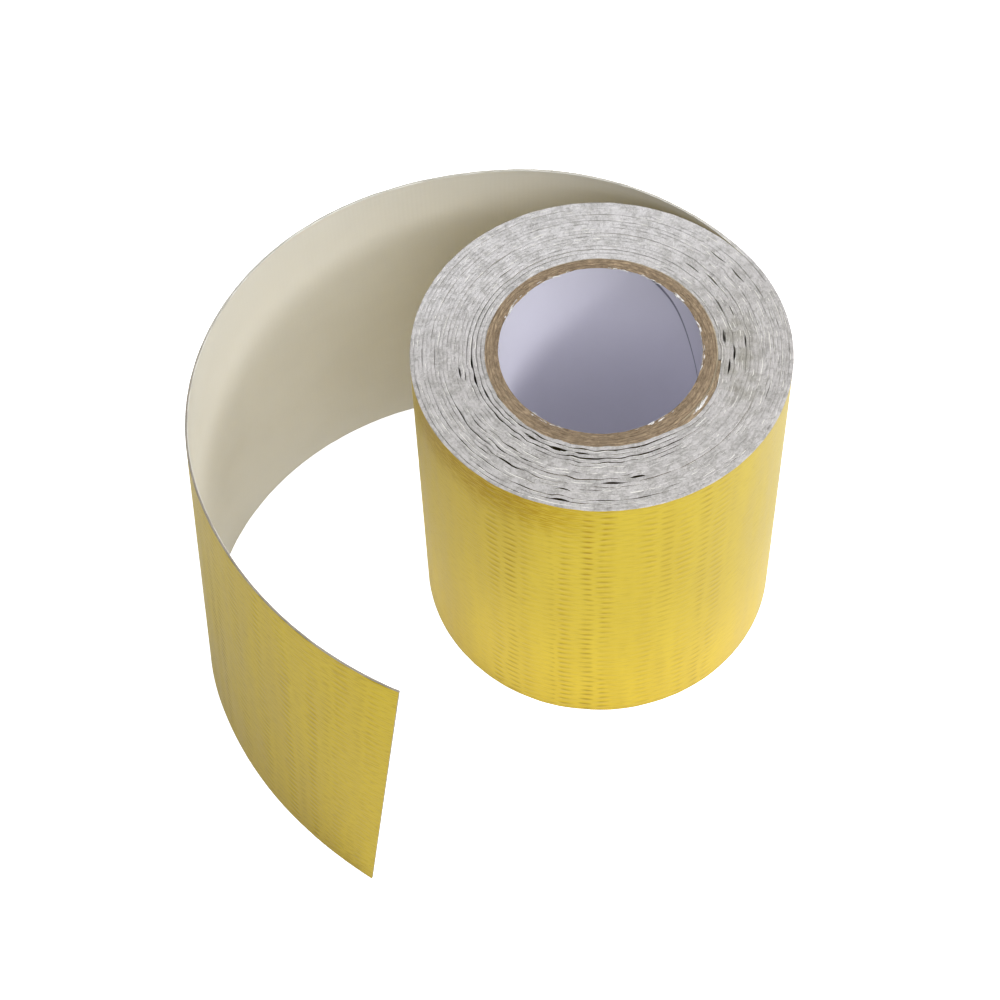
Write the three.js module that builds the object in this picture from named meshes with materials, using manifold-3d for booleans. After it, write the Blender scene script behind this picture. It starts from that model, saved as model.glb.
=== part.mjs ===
import * as THREE from 'three';
import Module from 'manifold-3d';

const wasm = await Module();
wasm.setup();

// A roll of foil-faced glass cloth tape standing on one end, with its free tail curling
// round it. Lengths are in millimetres and angles in degrees. +Z is up.

// The strip and its release liner.
const tapeWidth = 50;
const tapeThickness = 0.36;
const linerThickness = 0.12;
const adhesiveGap = 0.02;

// The paperboard core.
const coreBore = 25.4;
const coreWall = 1.6;
const coreClearance = 0.3;
const coreShift = { x: 0.5, y: -0.25 };

// The winding, whose turns show in pairs as ridges on both ends. It is a little thicker
// on the side that the core is shifted away from.
const turnCount = 18;
const turnsPerRidge = 2;
const grooveShare = 0.4;
const grooveDepth = 0.4;
const roundSegments = 72;

// The free tail as seen from above: each arc's radius is a multiple of the roll's radius.
const tailLeavesAt = 34.2;
const tailArcs = [
  { bend: 1.564, sweep: 55.4 },
  { bend: 1.962, sweep: 22.1 },
  { bend: 1.542, sweep: 87.6 },
  { bend: 2.068, sweep: 43.1 },
];
const tailSink = 0.05;
const tailStep = 5;

// The tail leans outwards at the foot, between these shares of its length.
const footLean = 3.1;
const leanStarts = 0.3;
const leanEnds = 0.74;
const endSlant = 5.5;
const slantShare = 0.12;
const linerClearance = 0.3;

const turnPitch = tapeThickness + adhesiveGap + linerThickness;
const coreRadius = coreBore / 2 + coreWall;
const windingInner = coreRadius + coreClearance;
const windingOuter = windingInner + turnCount * turnPitch;
const ridgeCount = turnCount / turnsPerRidge;
const ridgePitch = (windingOuter - windingInner) / ridgeCount;

const radians = THREE.MathUtils.degToRad;

// Turns a closed outline of [radius, height] pairs about the Z axis.
function turned(outline) {
  const closed = [...outline, outline[0]];
  const profile = closed.map(([radius, height]) => new THREE.Vector2(radius, height));
  const geometry = new THREE.LatheGeometry(profile, roundSegments);
  geometry.rotateX(Math.PI / 2);
  return geometry;
}

// The grooves between ridges across one end, listed from the inside outwards.
function endOutline(height, inward) {
  const halfGroove = (ridgePitch * grooveShare) / 2;
  const points = [[windingInner, height]];
  for (let ridge = 1; ridge < ridgeCount; ridge += 1) {
    const radius = windingInner + ridge * ridgePitch;
    points.push([radius - halfGroove, height]);
    points.push([radius, height + inward * grooveDepth]);
    points.push([radius + halfGroove, height]);
  }
  points.push([windingOuter, height]);
  return points;
}

// Every turn's centre lies between the core's and the outermost turn's.
function windingGeometry() {
  const foot = endOutline(0, 1);
  const head = endOutline(tapeWidth, -1).reverse();
  const geometry = turned([...foot, ...head]);
  const place = geometry.getAttribute('position');
  for (let i = 0; i < place.count; i += 1) {
    const radius = Math.hypot(place.getX(i), place.getY(i));
    const share = (windingOuter - radius) / (windingOuter - windingInner);
    place.setX(i, place.getX(i) + coreShift.x * share);
    place.setY(i, place.getY(i) + coreShift.y * share);
  }
  return geometry;
}

function coreGeometry() {
  const bore = coreBore / 2;
  const geometry = turned([
    [bore, 0],
    [coreRadius, 0],
    [coreRadius, tapeWidth],
    [bore, tapeWidth],
  ]);
  geometry.translate(coreShift.x, coreShift.y, 0);
  return geometry;
}

// Stations along the tail's outer face: position, outward direction and distance run.
function tailStations() {
  const start = radians(tailLeavesAt);
  const point = new THREE.Vector2(Math.cos(start), Math.sin(start));
  point.multiplyScalar(windingOuter - tailSink);
  const outward = new THREE.Vector2(Math.cos(start), Math.sin(start));
  const stations = [{ point: point.clone(), outward: outward.clone(), run: 0 }];
  let run = 0;
  for (const { bend, sweep } of tailArcs) {
    const radius = bend * windingOuter;
    const centre = point.clone().addScaledVector(outward, -radius);
    const steps = Math.ceil(sweep / tailStep);
    const turn = radians(sweep) / steps;
    for (let step = 0; step < steps; step += 1) {
      outward.rotateAround(new THREE.Vector2(), turn);
      point.copy(centre).addScaledVector(outward, radius);
      run += radius * turn;
      stations.push({ point: point.clone(), outward: outward.clone(), run });
    }
  }
  return stations;
}

// One stretch of strip joins four corners at one station to four at the next. Its two
// wide walls are split along the same diagonal, so that stacked strips stay parallel.
const outerWall = [0, 4, 1, 1, 4, 5];
const topEdge = [1, 5, 2, 2, 5, 6];
const innerWall = [2, 6, 7, 2, 7, 3];
const footEdge = [3, 7, 0, 0, 7, 4];
const stripWalls = [...outerWall, ...topEdge, ...innerWall, ...footEdge];

// A strip that follows the tail, between two depths below its outer face.
function tailStrip(stations, firstStation, outerDepth, innerDepth) {
  const length = stations[stations.length - 1].run;
  const slantFrom = length * (1 - slantShare);
  const positions = [];
  const used = stations.slice(firstStation);
  for (const { point, outward, run } of used) {
    const lean = footLean * THREE.MathUtils.smoothstep(run / length, leanStarts, leanEnds);
    const top = Math.sqrt(tapeWidth ** 2 - lean ** 2);
    const setBack = endSlant * Math.max(0, (run - slantFrom) / (length - slantFrom));
    const along = new THREE.Vector2(outward.y, -outward.x).multiplyScalar(setBack);
    const foot = point.clone().addScaledVector(outward, lean).add(along);
    const outerTop = point.clone().addScaledVector(outward, -outerDepth);
    const innerTop = point.clone().addScaledVector(outward, -innerDepth);
    const outerFoot = foot.clone().addScaledVector(outward, -outerDepth);
    const innerFoot = foot.clone().addScaledVector(outward, -innerDepth);
    positions.push(outerFoot.x, outerFoot.y, 0, outerTop.x, outerTop.y, top);
    positions.push(innerTop.x, innerTop.y, top, innerFoot.x, innerFoot.y, 0);
  }
  const perStation = positions.length / 3 / used.length;
  const last = (used.length - 1) * perStation;
  const index = [0, 1, 2, 0, 2, 3];
  for (let base = 0; base < last; base += perStation) {
    index.push(...stripWalls.map((corner) => base + corner));
  }
  index.push(...[0, 2, 1, 0, 3, 2].map((corner) => last + corner));
  const geometry = new THREE.BufferGeometry();
  geometry.setAttribute('position', new THREE.Float32BufferAttribute(positions, 3));
  geometry.setIndex(index);
  return geometry;
}

// The first station where the liner stands clear of the winding.
function linerStart(stations, depth) {
  const clear = windingOuter + linerClearance;
  return stations.findIndex(({ point }) => point.length() - depth > clear);
}

// Joins vertices that share a position, to the nearest ten-thousandth, into a solid.
const mergeScale = 10000;
function solidOf(geometry) {
  const place = geometry.getAttribute('position');
  const corners = geometry.index.array;
  const seen = new Map();
  const vertices = [];
  const merged = new Uint32Array(place.count);
  for (let i = 0; i < place.count; i += 1) {
    const spot = [place.getX(i), place.getY(i), place.getZ(i)];
    const key = spot.map((value) => Math.round(value * mergeScale)).join(' ');
    if (!seen.has(key)) {
      seen.set(key, vertices.length / 3);
      vertices.push(...spot);
    }
    merged[i] = seen.get(key);
  }
  const triangles = [];
  for (let i = 0; i < corners.length; i += 3) {
    const [a, b, c] = [merged[corners[i]], merged[corners[i + 1]], merged[corners[i + 2]]];
    if (a !== b && b !== c && c !== a) {
      triangles.push(a, b, c);
    }
  }
  const mesh = new wasm.Mesh({
    numProp: 3,
    vertProperties: new Float32Array(vertices),
    triVerts: new Uint32Array(triangles),
  });
  return new wasm.Manifold(mesh);
}

function geometryOf(solid) {
  const { vertProperties, triVerts } = solid.getMesh();
  const geometry = new THREE.BufferGeometry();
  geometry.setAttribute('position', new THREE.BufferAttribute(vertProperties, 3));
  geometry.setIndex(new THREE.BufferAttribute(triVerts, 1));
  return geometry;
}

const stations = tailStations();
const linerOuter = tapeThickness + adhesiveGap;
const linerInner = linerOuter + linerThickness;

const tape = geometryOf(
  solidOf(windingGeometry()).add(solidOf(tailStrip(stations, 0, 0, tapeThickness))),
);
const liner = tailStrip(stations, linerStart(stations, linerInner), linerOuter, linerInner);
const core = coreGeometry();

const foilGold = new THREE.MeshStandardMaterial({
  color: 0xd8ba3e,
  roughness: 0.38,
  metalness: 0.6,
});
const linerPaper = new THREE.MeshStandardMaterial({
  color: 0xd2ccbe,
  roughness: 0.6,
  metalness: 0,
});
const kraftBoard = new THREE.MeshStandardMaterial({
  color: 0x9b8468,
  roughness: 0.9,
  metalness: 0,
});

const pieces = [
  ['core_tube', core, kraftBoard],
  ['tape', tape, foilGold],
  ['release_liner', liner, linerPaper],
];

// The origin is the middle of the whole outline, on the surface the roll stands on.
const outline = new THREE.Box3();
for (const [, geometry] of pieces) {
  geometry.computeBoundingBox();
  outline.union(geometry.boundingBox);
}
const middle = outline.getCenter(new THREE.Vector3());

const roll = new THREE.Group();
roll.name = 'reflective_heat_tape';
for (const [name, geometry, material] of pieces) {
  geometry.translate(-middle.x, -middle.y, -outline.min.z);
  geometry.computeVertexNormals();
  const mesh = new THREE.Mesh(geometry, material);
  mesh.name = name;
  roll.add(mesh);
}

export default roll;
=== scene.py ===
import math

import bpy
import numpy as np
from mathutils import Matrix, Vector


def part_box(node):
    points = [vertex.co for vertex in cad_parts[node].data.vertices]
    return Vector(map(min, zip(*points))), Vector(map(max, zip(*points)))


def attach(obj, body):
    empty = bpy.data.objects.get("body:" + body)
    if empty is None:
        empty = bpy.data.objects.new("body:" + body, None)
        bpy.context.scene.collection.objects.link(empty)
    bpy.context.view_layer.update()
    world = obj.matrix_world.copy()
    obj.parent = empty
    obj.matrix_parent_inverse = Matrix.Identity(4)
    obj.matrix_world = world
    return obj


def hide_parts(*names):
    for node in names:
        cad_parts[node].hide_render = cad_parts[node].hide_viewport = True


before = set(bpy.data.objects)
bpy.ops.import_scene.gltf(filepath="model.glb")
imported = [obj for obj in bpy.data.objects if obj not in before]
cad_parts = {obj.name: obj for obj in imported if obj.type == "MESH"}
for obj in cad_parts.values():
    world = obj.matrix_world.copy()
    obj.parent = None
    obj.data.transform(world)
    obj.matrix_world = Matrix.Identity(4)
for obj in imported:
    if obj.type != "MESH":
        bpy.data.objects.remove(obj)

# A roll of gold reflective heat tape on a paperboard core, standing on its end, with its
# free tail curling round it. The dictionaries give lengths in millimetres and angles in
# degrees. Meshes are in metres.
mm = 0.001
fullTurn = 2 * math.pi
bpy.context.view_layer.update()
coreLow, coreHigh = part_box("core_tube")
tapeLow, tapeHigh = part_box("tape")
coreCentre = np.array([coreLow[0] + coreHigh[0], coreLow[1] + coreHigh[1]]) / 2 / mm
tapeWidth = (tapeHigh[2] - tapeLow[2]) / mm
creaseAngle = math.radians(38)  # edges bent by more than this stay sharp


# A soft random wave: random heights at even knots, eased into each other.
def softWave(distance, spacing, seed):
    place = (distance - distance.min()) / spacing
    knot = np.floor(place).astype(int)
    heights = np.random.default_rng(seed).uniform(-1, 1, knot.max() + 2)
    share = place - knot
    ease = share * share * (3 - 2 * share)
    return heights[knot] * (1 - ease) + heights[knot + 1] * ease


# A ramp from 0 to 1 between two places, level at both ends: 3t^2 - 2t^3.
def easedStep(value, low, high):
    share = np.clip((value - low) / (high - low), 0, 1)
    return share * share * (3 - 2 * share)


# Puts an object with its data into the scene.
def linkPiece(name, data):
    piece = bpy.data.objects.new(name, data)
    bpy.context.scene.collection.objects.link(piece)
    return piece


# Points on circles round a centre, one row each.
def ringPoints(centre, angle, radius):
    return np.column_stack([centre[0] + np.cos(angle) * radius, centre[1] + np.sin(angle) * radius])


# Joins a grid of points to a mesh. Rows follow the path and columns go round a closed
# section, so each face is (row, column), (row + 1, column), (row + 1, column + 1),
# (row, column + 1). The UV map is distance along the path and distance round the section.
def sectionMesh(name, grid, along, around, columnFinish, finishes, closedPath=False):
    rows, columns = grid.shape[:2]
    index = np.arange(rows * columns).reshape(rows, columns)
    ahead = np.roll(index, -1, axis=0)
    stretch = rows if closedPath else rows - 1
    beside = np.roll(index, -1, axis=1)
    aheadBeside = np.roll(ahead, -1, axis=1)
    quads = np.stack([index, ahead, aheadBeside, beside], axis=-1)[:stretch].reshape(-1, 4)
    low, high = np.meshgrid(along[:stretch], around[:-1], indexing="ij")
    lowNext, highNext = np.meshgrid(along[1 : stretch + 1], around[1:], indexing="ij")
    corners = np.stack([low, high, lowNext, high, lowNext, highNext, low, highNext], axis=-1)
    faces = quads.tolist()
    uv = [corners.reshape(-1, 2)]
    finish = np.tile(np.asarray(columnFinish), stretch)
    if not closedPath:  # caps at both ends
        faces += [index[0].tolist(), index[-1][::-1].tolist()]
        uv += [np.stack([np.full(columns, along[0]), around[:-1]], axis=-1)]
        uv += [np.stack([np.full(columns, along[-1]), around[:-1][::-1]], axis=-1)]
        finish = np.append(finish, [columnFinish[len(columnFinish) // 2 - 1]] * 2)
    mesh = bpy.data.meshes.new(name)
    mesh.from_pydata(grid.reshape(-1, 3) * mm, [], faces)
    for material in finishes:
        mesh.materials.append(material)
    mesh.polygons.foreach_set("material_index", finish.astype(np.int32))
    layer = mesh.uv_layers.new(name="stripMap")
    layer.data.foreach_set("uv", np.concatenate(uv).astype(np.float32).ravel())
    mesh.shade_smooth()
    mesh.set_sharp_from_angle(angle=creaseAngle)
    mesh.update()
    return linkPiece(name, mesh)


# The node functions add to this tree: that of the group or material started last.
tree = None


def addNode(kind, label, **settings):
    node = tree.nodes.new(kind)
    node.label = label
    for key, value in settings.items():
        setattr(node, key, value)
    return node


def feed(socket, value):
    if isinstance(value, bpy.types.NodeSocket):
        tree.links.new(value, socket)
    elif value is not None:
        socket.default_value = value


def feedAll(node, values):
    for name, value in values.items():
        feed(node.inputs[name], value)
    return node.outputs


def calc(operation, first, second=None, third=None, clamp=False):
    node = addNode("ShaderNodeMath", operation.lower(), operation=operation, use_clamp=clamp)
    return feedAll(node, {0: first, 1: second, 2: third})[0]


def times(first, second):
    return calc("MULTIPLY", first, second)


def plus(first, second, clamp=False):
    return calc("ADD", first, second, clamp=clamp)


def minus(first, second):
    return calc("SUBTRACT", first, second)


def over(first, second):
    return calc("DIVIDE", first, second)


# The sum of several values, each times its weight.
def weighted(parts):
    total = 0.0
    for value, weight in parts:
        total = calc("MULTIPLY_ADD", value, weight, total)
    return total


def blend(factor, first, second, mode="MIX"):
    node = addNode("ShaderNodeMix", "blend", data_type="RGBA", blend_type=mode)
    return feedAll(node, {0: factor, 6: first, 7: second})[2]


# Carries a value from one range to another, eased at both ends.
def spread(value, fromLow, fromHigh, toLow=0.0, toHigh=1.0):
    node = addNode("ShaderNodeMapRange", "spread", interpolation_type="SMOOTHSTEP")
    return feedAll(node, dict(enumerate((value, fromLow, fromHigh, toLow, toHigh))))[0]


def noise(vector, scale, detail=3.0, roughness=0.55):
    node = addNode("ShaderNodeTexNoise", "noise")
    values = {"Vector": vector, "Scale": scale, "Detail": detail, "Roughness": roughness}
    return feedAll(node, values)["Fac"]


def vectorOf(x, y, z=0.0):
    node = addNode("ShaderNodeCombineXYZ", "join")
    return feedAll(node, {0: x, 1: y, 2: z})[0]


# Two values as a place for a noise, each times its own scale.
def stretched(first, second, scales):
    return vectorOf(times(first, scales[0]), times(second, scales[1]))


def separate(vector):
    return feedAll(addNode("ShaderNodeSeparateXYZ", "split"), {0: vector})[:]


def objectPlace():
    return addNode("ShaderNodeTexCoord", "place").outputs["Object"]


# Object coordinates measured from a point given in millimetres.
def placeFrom(label, point):
    node = addNode("ShaderNodeMapping", label)
    node.inputs["Location"].default_value = (-point[0] * mm, -point[1] * mm, 0)
    feed(node.inputs["Vector"], objectPlace())
    return node.outputs[0]


# Starts a node group. Its inputs are numbers with their usual values, or a vector for None.
def startGroup(name, inputs, outputs):
    global tree
    tree = bpy.data.node_groups.new(name, "ShaderNodeTree")
    for socketName, value in inputs.items():
        kind = "NodeSocketVector" if value is None else "NodeSocketFloat"
        socket = tree.interface.new_socket(socketName, in_out="INPUT", socket_type=kind)
        if value is not None:
            socket.default_value = value
    for socketName in outputs:
        tree.interface.new_socket(socketName, in_out="OUTPUT", socket_type="NodeSocketFloat")
    return tree.nodes.new("NodeGroupInput").outputs, tree.nodes.new("NodeGroupOutput").inputs


def placeGroup(group, label, **values):
    return feedAll(addNode("ShaderNodeGroup", label, node_tree=group), values)


def startMaterial(name):
    global tree
    material = bpy.data.materials.new(name)
    material.use_nodes = True
    tree = material.node_tree
    return material, tree.nodes["Principled BSDF"]


def setSurface(shader, colour, roughness):
    feed(shader.inputs["Base Color"], colour)
    feed(shader.inputs["Roughness"], roughness)


def bumpInto(shader, height, distance, strength=1.0):
    node = addNode("ShaderNodeBump", "relief")
    outputs = feedAll(node, {"Distance": distance, "Strength": strength, "Height": height})
    feed(shader.inputs["Normal"], outputs["Normal"])


# The piece's own strip map: distance along and distance across, in millimetres.
def stripPlace():
    place = addNode("ShaderNodeUVMap", "strip map", uv_map="stripMap")
    return separate(place.outputs[0])[:2]


weaveLook = {
    "bendScales": (0.22, 0.16),  # of the noise that bends the rows, along and across
    "slideAcross": 0.5,  # scale across of the noise that slides the columns
    "slide": 1.6,
    "patches": (0.32, 0.66, 0.15, 1.0),  # ranges are from low, from high, to low, to high
    "strongColumns": (0.42, 0.6, 0.14, 1.0),
    "rowsRunOn": 0.18,
    "dash": (0.1, 0.85),
}


# Woven relief: the product of one cosine across the strip and one along it, so that raised
# dashes stand in rows with every other column half a row lower. Noise bends the rows, a
# broad noise fades them in and out, and another makes some columns stronger than others.
def makeWovenRelief(look):
    put, out = startGroup(
        "wovenRelief",
        {"Along": 0.0, "Across": 0.0, "Row Pitch": 1.2, "Column Pitch": 3.2, "Wander": 0.9,
         "Fade Size": 7.0},
        ("Height", "Dash", "Presence"),
    )
    along, across, fadeSize = put["Along"], put["Across"], put["Fade Size"]
    bend = noise(stretched(along, across, look["bendScales"]), 1.0, 2.0)
    bent = plus(across, times(minus(bend, 0.5), put["Wander"]))
    slidePlace = vectorOf(times(across, look["slideAcross"]), along, 3.0)
    slide = minus(noise(slidePlace, 0.4, 2.0), 0.5)
    slid = plus(along, times(slide, look["slide"]))
    rowWave, columnWave = (
        calc("COSINE", times(over(place, pitch), fullTurn))
        for place, pitch in ((bent, put["Row Pitch"]), (slid, put["Column Pitch"]))
    )
    product = times(rowWave, columnWave)
    fadeAcross = over(across, times(fadeSize, 4.0))
    fadePlace = vectorOf(over(along, fadeSize), fadeAcross, 7.0)
    patches = spread(noise(fadePlace, 1.0, 3.0, 0.6), *look["patches"])
    columnPlace = over(slid, times(put["Column Pitch"], 1.1))
    columns = noise(vectorOf(columnPlace, 11.0), 1.0, 1.0)
    presence = times(patches, spread(columns, *look["strongColumns"]))
    rowsRunOn = times(rowWave, look["rowsRunOn"])
    feed(out["Height"], plus(times(product, presence), rowsRunOn))
    feed(out["Dash"], times(spread(product, *look["dash"]), presence))
    feed(out["Presence"], presence)
    return tree


# Fine speckle: two noises of one size and three times that size, pulled apart in contrast.
def makeSpeckle():
    inputs = {"Vector": None, "Scale": 1000.0, "Contrast": 1.0}
    put, out = startGroup("fineSpeckle", inputs, ("Mask",))
    fine = noise(put["Vector"], put["Scale"], 2.0)
    broad = noise(put["Vector"], over(put["Scale"], 3.0), 2.0)
    mixed = minus(times(plus(fine, broad), 0.5), 0.5)
    feed(out["Mask"], plus(times(mixed, put["Contrast"]), 0.5, clamp=True))
    return tree


# Edge wear: 1 at either long edge of the strip and 0 a given reach away from it.
def makeEdgeWear():
    inputs = {"Across": 0.0, "Width": 50.0, "Reach": 1.0, "Ragged": 0.0}
    put, out = startGroup("edgeWear", inputs, ("Mask",))
    half = times(put["Width"], 0.5)
    fromMiddle = calc("ABSOLUTE", minus(put["Across"], half))
    toEdge = plus(minus(half, fromMiddle), put["Ragged"])
    feed(out["Mask"], spread(toEdge, 0.0, put["Reach"], 1.0, 0.0))
    return tree


wovenRelief = makeWovenRelief(weaveLook)
fineSpeckle = makeSpeckle()
edgeWear = makeEdgeWear()
print("node groups built")


def placeWeave(along, across, look):
    pitches = {"Row Pitch": look["rowPitch"], "Column Pitch": look["columnPitch"]}
    return placeGroup(wovenRelief, "weave", Along=along, Across=across, **pitches)


def placeSpeckle(place, scale, contrast):
    values = {"Vector": place, "Scale": scale, "Contrast": contrast}
    return placeGroup(fineSpeckle, "speckle", **values)["Mask"]


cameraLook = {
    "place": (-13.12, -182.99, 299.84),  # from the roll's axis on the floor
    "pitchDown": 57.13,
    "roll": -2.408,
    "focal": 2.51112,  # in picture widths
    "sensor": 36.0,
}

stripLook = {
    "firstTurnAt": -8.0,  # angle where the strip starts on the core
    "leavesAt": 34.2,  # angle where the tail leaves the roll
    "fullTurns": 18,
    "firstRadius": 14.87,  # outer face of the first turn where it starts
    "lastRadius": 23.81,  # outer face where the tail leaves
    "stepsPerTurn": 240,
    "tapeThickness": 0.36,
    "adhesiveGap": 0.01,
    "linerThickness": 0.095,
    "rimShift": (0.1, -0.19),  # the board's rim stands off the roll's axis
    "stepFrom": 0.84,  # share of a turn within which an early turn steps up over the start
    "stepTo": 0.89,
    "stepFades": 5.0,  # and later turns grow evenly
    "smallGaps": 60,  # lens-shaped openings scattered through the winding
    "smallGapRadii": (15.0, 8.2),  # the smallest, and how far out they reach from it
    "smallGapsAt": (238.0, 42.0),  # middle and spread of their angles
    "smallGapHalf": (1.0, 4.5),
    "smallGapWidth": (0.03, 0.1),
    "gapSeed": 17,
    "slackTurnsIn": (17.5, 21.0),  # between these radii slack comes to go inwards only
    "ripple": 0.055,
    "rippleSeed": 5,
    "edgeDrop": 0.2,
    "edgeWander": 0.09,
    "edgeUneven": 0.09,
    "edgeFray": 0.06,
    "wanderSpacing": 30.0,  # distance between the knots of each wave along an edge
    "unevenSpacing": 4.5,
    "lipSpacing": 3.1,
    "fraySpacing": (1.3, 0.6),
    "tailThinner": 0.35,  # the free tail isn't swollen by its turns
    "tailSettles": 14.0,  # and takes this length to change
    "tailLoose": 0.25,  # how uneven its edges are
    "tailArcs": [(36.9, 55.4), (46.3, 22.1), (36.4, 87.6), (48.8, 43.1)],  # radius, sweep
    "tailStep": 0.5,
    "footLean": 3.1,
    "leanStarts": 0.3,
    "leanEnds": 0.74,
    "endSlant": 5.5,
    "slantShare": 0.12,
}

# Slack between two turns: radius, middle angle, half span, width
slackGaps = [
    (14.6, -36.0, 14.0, 0.5),  # the turns pass over the core's flap
    (21.4, 222.0, 30.0, 0.07), (19.4, 232.0, 36.0, 0.08), (22.4, 254.5, 2.0, 0.26),
    (19.45, 270.3, 2.4, 0.3), (19.4, 280.0, 2.2, 0.3), (15.5, 233.0, 2.6, 0.3),
    (15.8, 247.5, 3.4, 0.34), (15.75, 258.5, 3.0, 0.24), (16.1, 184.0, 2.4, 0.16),
    (16.1, 193.0, 2.2, 0.17), (17.6, 188.0, 2.4, 0.13), (20.95, 31.0, 3.0, 0.2),
    (20.95, 41.5, 3.0, 0.22), (17.9, 35.0, 3.0, 0.2), (17.3, 45.5, 3.4, 0.2),
    (18.2, 94.0, 2.5, 0.12), (19.2, 130.0, 2.5, 0.12), (16.8, 132.0, 3.0, 0.14),
    (15.5, 5.0, 3.2, 0.36), (17.9, 2.0, 2.6, 0.2), (16.6, 356.0, 3.0, 0.26),
    (16.0, 348.5, 3.2, 0.26), (17.6, 18.0, 2.6, 0.14), (16.3, 22.0, 3.0, 0.16),
]


# Small openings placed at random, most of them at the front left.
def scatterGaps(look):
    rng = np.random.default_rng(look["gapSeed"])
    count = look["smallGaps"]
    radius = look["smallGapRadii"][0] + look["smallGapRadii"][1] * rng.beta(1.3, 1.6, count)
    middle = rng.normal(*look["smallGapsAt"], count) % 360
    halfSpan = rng.uniform(*look["smallGapHalf"], count)
    width = rng.uniform(*look["smallGapWidth"], count)
    return list(zip(radius, middle, halfSpan, width))


coreOff = np.array([0.5, -0.25])  # how far the solid core stands off the roll's axis
rollAxis = coreCentre - coreOff
rimCentre = rollAxis + np.array(stripLook["rimShift"])


# How loosely the turns lie at an angle: tight all round, looser under one broad bell at the
# front left and one at the right.
def looseness(angle):
    value = np.full_like(angle, 0.12)
    for middle, width, height in ((240, 40, 0.8), (2, 34, 0.5)):
        away = np.degrees(angle) - middle
        away = away - 360 * np.round(away / 360)
        value = value + height * np.exp(-((away / width) ** 2))
    return value


# A flat-topped bell over an angle's offset from its middle: half the difference of two
# hyperbolic tangents, one at each end.
def flatBell(offset, half):
    soft = half * 0.35
    return 0.5 * (np.tanh((offset + half) / soft) - np.tanh((offset - half) / soft))


# Slack in the winding: at each gap the turns inside it move in and the turns outside it
# move out by half its width, less with each turn away from it, under a flat-topped bell
# over the angle. Near the outside, where the last turn lies tight, all of it goes inwards.
def slackShift(angle, startAngle, firstRadius, pitch):
    shift = np.zeros_like(angle)
    for radius, middle, halfSpan, width in slackGaps + scatterGaps(stripLook):
        centre = math.radians(middle)
        half = math.radians(halfSpan)
        lap = np.round((angle - centre) / fullTurn)
        offset = angle - centre - fullTurn * lap
        gapLap = round((radius - firstRadius) / pitch + (startAngle - centre) / fullTurn)
        inwards = easedStep(radius, *stripLook["slackTurnsIn"])
        part = np.where(lap > gapLap, 0.5 * (1 - inwards), -0.5 * (1 + inwards))
        away = np.abs(lap - gapLap - 0.5) - 0.5
        bell = flatBell(offset, half)
        shift += part * width * np.exp(-away / (4 + 10 * width)) * bell
    return shift


# Ripples that neighbouring turns share: a sum of sines of the angle whose phases slide
# slowly with the radius.
def sharedRipple(angle, radius, seed):
    rng = np.random.default_rng(seed)
    counts = rng.integers(7, 46, 12)
    phases = rng.uniform(0, fullTurn, 12)
    slides = rng.uniform(-1.2, 1.2, 12)
    waves = np.sin(counts * angle[:, None] + phases + slides * radius[:, None])
    return waves.sum(axis=1) / math.sqrt(12)


# The strip's outer face from above: a spiral whose radius grows by one pitch a turn round
# a centre that moves from the rim of the core to the roll's axis, then arcs that meet end
# to end. An early turn keeps its radius and takes its whole pitch where it steps up.
def stripPath(look):
    startAngle = math.radians(look["firstTurnAt"])
    leaveAngle = math.radians(look["leavesAt"]) + fullTurn * look["fullTurns"]
    turns = (leaveAngle - startAngle) / fullTurn
    pitch = (look["lastRadius"] - look["firstRadius"]) / turns
    angle = np.linspace(startAngle, leaveAngle, round(turns * look["stepsPerTurn"]) + 1)
    turn = (angle - startAngle) / fullTurn
    lap = turn - np.floor(turn)
    stepUp = easedStep(lap, look["stepFrom"], look["stepTo"]) - lap
    grown = turn + stepUp * (1 - easedStep(turn, 0.5, look["stepFades"]))
    radius = look["firstRadius"] + pitch * grown
    loose = slackShift(angle, startAngle, look["firstRadius"], pitch)
    settle = 1 - easedStep(turn, turns - 1.2, turns)  # the last turn runs smoothly into the tail
    calm = 1 - easedStep(turn, turns - 5, turns - 1.2)  # ripples fade over the last turns
    waves = sharedRipple(angle, radius, look["rippleSeed"])
    loose += look["ripple"] * waves * looseness(angle) * calm
    wound = radius + loose * settle
    share = (look["lastRadius"] - radius) / (look["lastRadius"] - look["firstRadius"])
    outward = np.stack([np.cos(angle), np.sin(angle)], axis=1)
    place = rollAxis + outward * wound[:, None] + share[:, None] * np.array(look["rimShift"])
    steps = np.linalg.norm(np.diff(place, axis=0), axis=1)
    run = np.concatenate([[0.0], np.cumsum(steps)])
    spiralEnd = run[-1]
    for arcRadius, sweep in look["tailArcs"]:
        heading = math.atan2(outward[-1, 1], outward[-1, 0])
        count = max(2, round(arcRadius * math.radians(sweep) / look["tailStep"]))
        bend = np.linspace(0, math.radians(sweep), count + 1)[1:]
        arcOutward = np.stack([np.cos(heading + bend), np.sin(heading + bend)], axis=1)
        centre = place[-1] - outward[-1] * arcRadius
        place = np.concatenate([place, centre + arcOutward * arcRadius])
        outward = np.concatenate([outward, arcOutward])
        run = np.concatenate([run, run[-1] + arcRadius * bend])
    tailRun = np.clip(run - spiralEnd, 0, None)
    return {
        "place": place, "outward": outward, "run": run, "tailRun": tailRun,
        "tailShare": tailRun / tailRun[-1], "wound": run < spiralEnd,
    }


path = stripPath(stripLook)
stripLength = float(path["run"][-1])
leavesRun = float(path["run"][path["wound"]][-1])  # distance along where the tail leaves


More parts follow.
